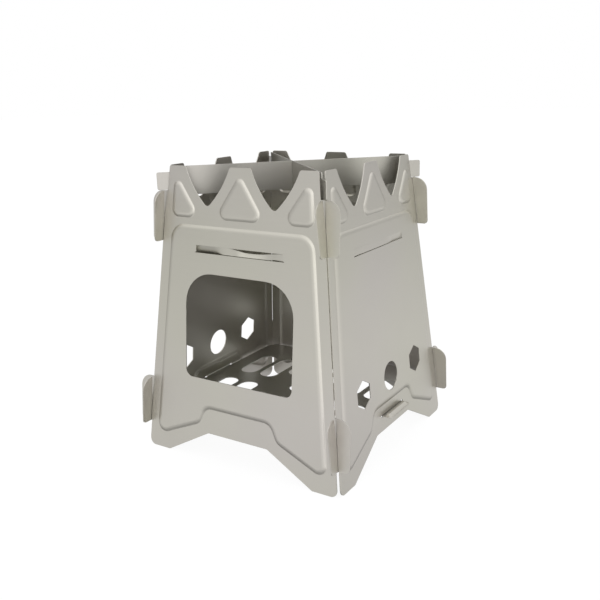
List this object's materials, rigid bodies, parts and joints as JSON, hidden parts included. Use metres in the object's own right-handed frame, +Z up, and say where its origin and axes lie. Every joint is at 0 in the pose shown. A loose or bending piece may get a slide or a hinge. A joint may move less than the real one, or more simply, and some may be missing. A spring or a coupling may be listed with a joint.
{
  "type": "folding camping wood stove",
  "caption": "Flat-pack camping wood stove of four leaning pressed steel panels hooked at the corners, with a fire grate and crossed pot supports.",
  "frame": {"origin": "on the ground at the middle of the stove", "axes": "+Z up, X along the front panel with the door at -Y, Y from front to back"},
  "size_m": [0.1512, 0.1512, 0.175],
  "materials": {
    "panel_steel": "brushed stainless sheet, pressed and blanked",
    "grate_steel": "brushed stainless sheet, pressed and blanked",
    "support_steel": "brushed stainless sheet, pressed and blanked"
  },
  "bodies": {
    "grate": {"fire_grate": "grate_steel"},
    "left": {"left_panel": "panel_steel"},
    "right": {"right_panel": "panel_steel"},
    "front": {"front_panel": "panel_steel"},
    "back": {"back_panel": "panel_steel"},
    "lower_support": {"pot_support_lower": "support_steel"},
    "upper_support": {"pot_support_upper": "support_steel"}
  },
  "joints": [
    {"name": "front_lift", "type": "slide", "parent": "grate", "child": "front", "axis": [0, 0, 1], "range_m": [0, 0.016]},
    {"name": "back_lift", "type": "slide", "parent": "grate", "child": "back", "axis": [0, 0, 1], "range_m": [0, 0.016]},
    {"name": "left_spread", "type": "slide", "parent": "grate", "child": "left", "axis": [-1, 0, 0], "range_m": [0, 0.00158]},
    {"name": "right_spread", "type": "slide", "parent": "grate", "child": "right", "axis": [1, 0, 0], "range_m": [0, 0.00158]},
    {"name": "lower_support_lift", "type": "slide", "parent": "front", "child": "lower_support", "axis": [0, 0, 1], "range_m": [0, 0.03]},
    {"name": "upper_support_lift", "type": "slide", "parent": "lower_support", "child": "upper_support", "axis": [0, 0, 1], "range_m": [0, 0.02]}
  ],
  "couplings": [
    {"joint": "back_lift", "follows": "front_lift", "ratio": 1},
    {"joint": "left_spread", "follows": "front_lift", "ratio": 0.09829},
    {"joint": "right_spread", "follows": "front_lift", "ratio": 0.09829}
  ]
}
